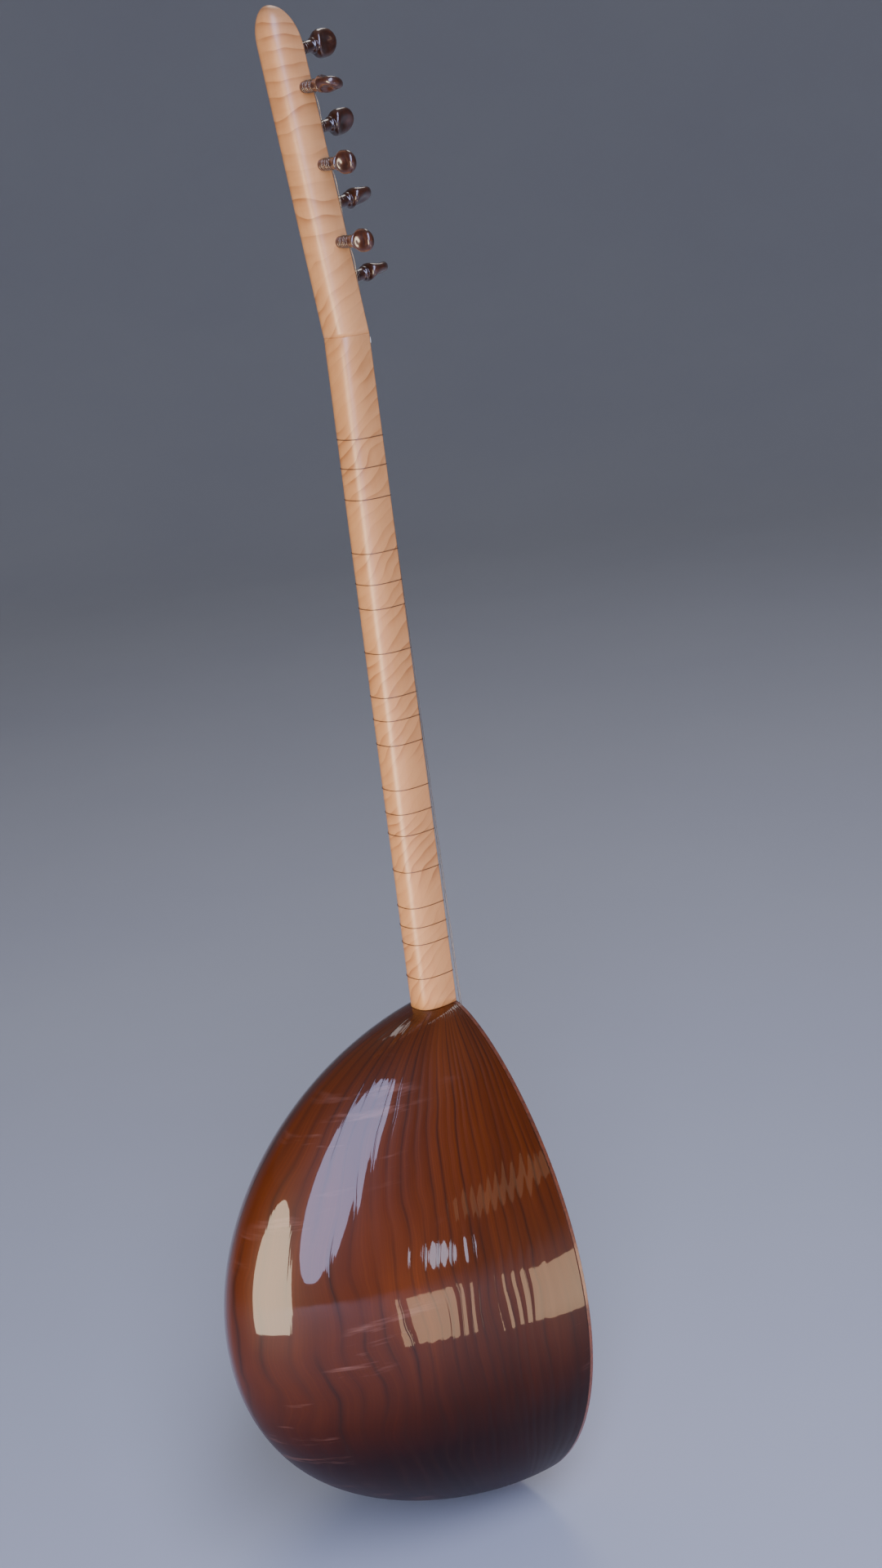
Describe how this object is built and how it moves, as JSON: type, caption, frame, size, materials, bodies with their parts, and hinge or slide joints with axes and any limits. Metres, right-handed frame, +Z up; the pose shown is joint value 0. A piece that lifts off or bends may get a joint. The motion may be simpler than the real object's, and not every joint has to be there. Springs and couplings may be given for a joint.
{
  "type": "long-necked lute",
  "caption": "Long-necked lute with a deep carved pear-shaped bowl, a flat soundboard, tied frets along a slim neck, and friction pegs in a backward-leaning head.",
  "frame": {"origin": "on the foot of the string holder at the tail end, in the plane of the soundboard's face, halfway across the instrument", "axes": "+Z up along the neck, -Y the way the soundboard faces, -X the side that the side pegs point to"},
  "size_m": [0.2552, 0.2738, 1.1619],
  "materials": {
    "carved_bowl": "high gloss lacquer over carved wood",
    "spruce_board": "satin lacquer",
    "wing_wood": "gloss lacquer",
    "spruce_brace": "bare",
    "pale_neck": "satin lacquer over flamed wood",
    "bone": "polished bone",
    "bridge_wood": "bare",
    "dark_wood": "oiled",
    "peg_wood": "high gloss",
    "string_wire": "drawn wire",
    "fret_nylon": "tied line"
  },
  "bodies": {
    "lute_body": {"bowl": "carved_bowl", "soundboard": "spruce_board", "board_wing_bass": "wing_wood", "board_wing_treble": "wing_wood", "brace_lower": "spruce_brace", "brace_upper": "spruce_brace", "neck": "pale_neck", "headstock": "pale_neck", "nut": "bone", "bridge": "bridge_wood", "tail_saddle": "dark_wood", "string_holder": "dark_wood", "string_1": "string_wire", "string_2": "string_wire", "string_3": "string_wire", "string_4": "string_wire", "string_5": "string_wire", "string_6": "string_wire", "string_7": "string_wire"},
    "peg_1_unit": {"peg_1": "peg_wood", "winding_1": "string_wire"},
    "peg_2_unit": {"peg_2": "peg_wood", "winding_2": "string_wire"},
    "peg_3_unit": {"peg_3": "peg_wood", "winding_3": "string_wire"},
    "peg_4_unit": {"peg_4": "peg_wood", "winding_4": "string_wire"},
    "peg_5_unit": {"peg_5": "peg_wood", "winding_5": "string_wire"},
    "peg_6_unit": {"peg_6": "peg_wood", "winding_6": "string_wire"},
    "peg_7_unit": {"peg_7": "peg_wood", "winding_7": "string_wire"},
    "fret_1_unit": {"fret_1": "fret_nylon"},
    "fret_2_unit": {"fret_2": "fret_nylon"},
    "fret_3_unit": {"fret_3": "fret_nylon"},
    "fret_4_unit": {"fret_4": "fret_nylon"},
    "fret_5_unit": {"fret_5": "fret_nylon"},
    "fret_6_unit": {"fret_6": "fret_nylon"},
    "fret_7_unit": {"fret_7": "fret_nylon"},
    "fret_8_unit": {"fret_8": "fret_nylon"},
    "fret_9_unit": {"fret_9": "fret_nylon"},
    "fret_10_unit": {"fret_10": "fret_nylon"},
    "fret_11_unit": {"fret_11": "fret_nylon"},
    "fret_12_unit": {"fret_12": "fret_nylon"},
    "fret_13_unit": {"fret_13": "fret_nylon"},
    "fret_14_unit": {"fret_14": "fret_nylon"},
    "fret_15_unit": {"fret_15": "fret_nylon"},
    "fret_16_unit": {"fret_16": "fret_nylon"},
    "fret_17_unit": {"fret_17": "fret_nylon"},
    "fret_18_unit": {"fret_18": "fret_nylon"}
  },
  "joints": [
    {"name": "peg_1_turn", "type": "hinge", "parent": "lute_body", "child": "peg_1_unit", "pos_m": [0, 0.02309, 1.13163], "axis": [0, -0.993, 0.1184], "continuous": true},
    {"name": "peg_2_turn", "type": "hinge", "parent": "lute_body", "child": "peg_2_unit", "pos_m": [-0.01501, 0.02769, 1.10691], "axis": [-1, 0, 0], "continuous": true},
    {"name": "peg_3_turn", "type": "hinge", "parent": "lute_body", "child": "peg_3_unit", "pos_m": [0, 0.01681, 1.079], "axis": [0, -0.993, 0.1184], "continuous": true},
    {"name": "peg_4_turn", "type": "hinge", "parent": "lute_body", "child": "peg_4_unit", "pos_m": [-0.01519, 0.02154, 1.05527], "axis": [-1, 0, 0], "continuous": true},
    {"name": "peg_5_turn", "type": "hinge", "parent": "lute_body", "child": "peg_5_unit", "pos_m": [0, 0.01066, 1.02737], "axis": [0, -0.993, 0.1184], "continuous": true},
    {"name": "peg_6_turn", "type": "hinge", "parent": "lute_body", "child": "peg_6_unit", "pos_m": [-0.01537, 0.01526, 1.00265], "axis": [-1, 0, 0], "continuous": true},
    {"name": "peg_7_turn", "type": "hinge", "parent": "lute_body", "child": "peg_7_unit", "pos_m": [0, 0.0045, 0.97573], "axis": [0, -0.993, 0.1184], "continuous": true},
    {"name": "fret_1_slide", "type": "slide", "parent": "lute_body", "child": "fret_1_unit", "axis": [0, 0, 1], "range_m": [-0.003, 0.003]},
    {"name": "fret_2_slide", "type": "slide", "parent": "lute_body", "child": "fret_2_unit", "axis": [0, 0, 1], "range_m": [-0.003, 0.003]},
    {"name": "fret_3_slide", "type": "slide", "parent": "lute_body", "child": "fret_3_unit", "axis": [0, 0, 1], "range_m": [-0.003, 0.003]},
    {"name": "fret_4_slide", "type": "slide", "parent": "lute_body", "child": "fret_4_unit", "axis": [0, 0, 1], "range_m": [-0.003, 0.003]},
    {"name": "fret_5_slide", "type": "slide", "parent": "lute_body", "child": "fret_5_unit", "axis": [0, 0, 1], "range_m": [-0.003, 0.003]},
    {"name": "fret_6_slide", "type": "slide", "parent": "lute_body", "child": "fret_6_unit", "axis": [0, 0, 1], "range_m": [-0.003, 0.003]},
    {"name": "fret_7_slide", "type": "slide", "parent": "lute_body", "child": "fret_7_unit", "axis": [0, 0, 1], "range_m": [-0.003, 0.003]},
    {"name": "fret_8_slide", "type": "slide", "parent": "lute_body", "child": "fret_8_unit", "axis": [0, 0, 1], "range_m": [-0.003, 0.003]},
    {"name": "fret_9_slide", "type": "slide", "parent": "lute_body", "child": "fret_9_unit", "axis": [0, 0, 1], "range_m": [-0.003, 0.003]},
    {"name": "fret_10_slide", "type": "slide", "parent": "lute_body", "child": "fret_10_unit", "axis": [0, 0, 1], "range_m": [-0.003, 0.003]},
    {"name": "fret_11_slide", "type": "slide", "parent": "lute_body", "child": "fret_11_unit", "axis": [0, 0, 1], "range_m": [-0.003, 0.003]},
    {"name": "fret_12_slide", "type": "slide", "parent": "lute_body", "child": "fret_12_unit", "axis": [0, 0, 1], "range_m": [-0.003, 0.003]},
    {"name": "fret_13_slide", "type": "slide", "parent": "lute_body", "child": "fret_13_unit", "axis": [0, 0, 1], "range_m": [-0.003, 0.003]},
    {"name": "fret_14_slide", "type": "slide", "parent": "lute_body", "child": "fret_14_unit", "axis": [0, 0, 1], "range_m": [-0.003, 0.003]},
    {"name": "fret_15_slide", "type": "slide", "parent": "lute_body", "child": "fret_15_unit", "axis": [0, 0, 1], "range_m": [-0.003, 0.003]},
    {"name": "fret_16_slide", "type": "slide", "parent": "lute_body", "child": "fret_16_unit", "axis": [0, 0, 1], "range_m": [-0.003, 0.003]},
    {"name": "fret_17_slide", "type": "slide", "parent": "lute_body", "child": "fret_17_unit", "axis": [0, 0, 1], "range_m": [-0.003, 0.003]},
    {"name": "fret_18_slide", "type": "slide", "parent": "lute_body", "child": "fret_18_unit", "axis": [0, 0, 1], "range_m": [-0.003, 0.003]}
  ]
}
